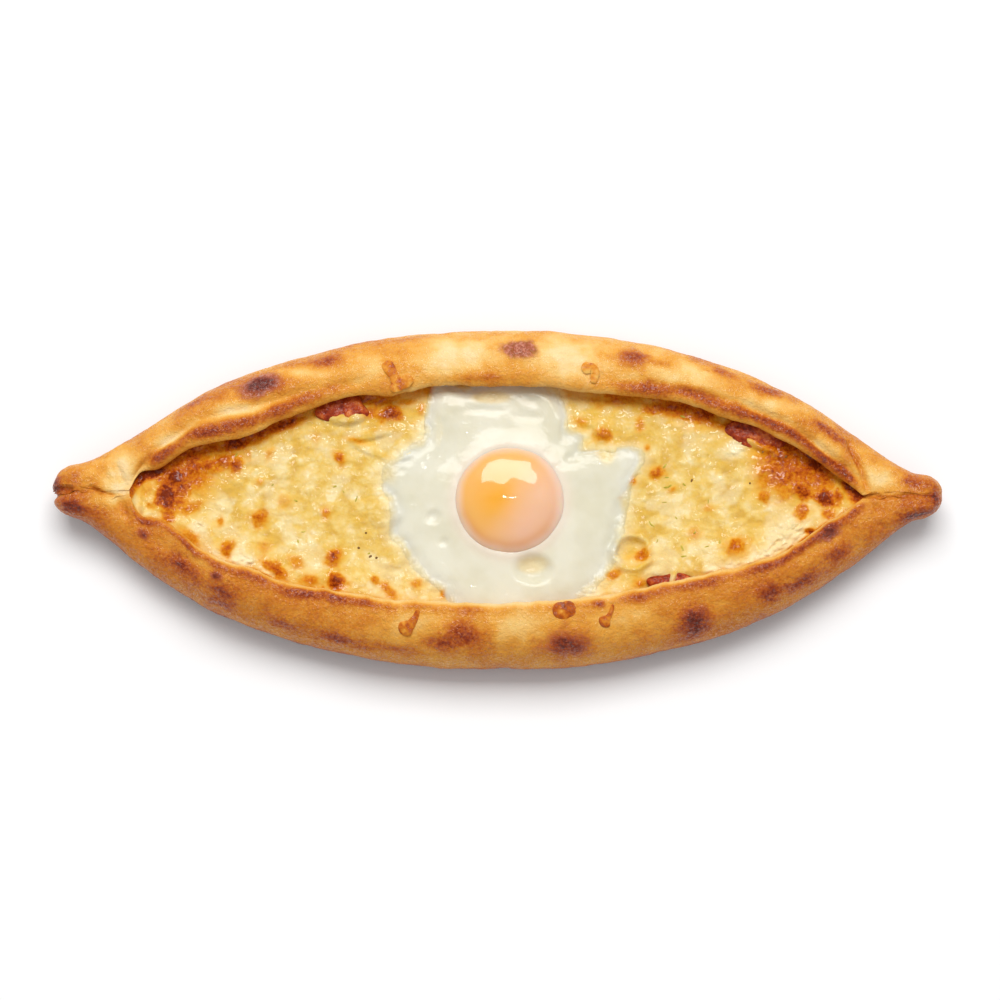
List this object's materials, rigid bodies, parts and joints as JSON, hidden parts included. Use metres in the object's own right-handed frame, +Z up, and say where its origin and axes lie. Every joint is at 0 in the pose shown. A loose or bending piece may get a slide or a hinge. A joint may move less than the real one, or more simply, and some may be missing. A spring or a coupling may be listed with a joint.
{
  "type": "cheese pide with egg",
  "caption": "Boat-shaped baked flatbread with thick rolled rims and pinched tips, filled with melted cheese, a baked egg and slices of cured meat.",
  "frame": {"origin": "centre of the bounding box in plan, on the surface the pide lies on", "axes": "+X along the boat towards its plain tip, +Y towards the back rim, +Z up"},
  "size_m": [0.319, 0.122, 0.0279],
  "materials": {
    "baked_dough": "golden brown baked crust, matte to satin, with darker toasted crests and blisters",
    "melted_cheese": "pale yellow melted cheese, wet sheen, with amber browned blisters",
    "egg_white": "set egg white, smooth wet gloss",
    "egg_yolk": "soft yolk under a thin film of white, high gloss",
    "cured_meat": "dark red-brown cured meat, oily sheen"
  },
  "bodies": {
    "root": {"dough_boat": "baked_dough", "melted_cheese": "melted_cheese", "egg_white": "egg_white", "egg_yolk": "egg_yolk", "meat_back_left": "cured_meat", "meat_back_right": "cured_meat", "meat_front": "cured_meat"}
  },
  "joints": []
}
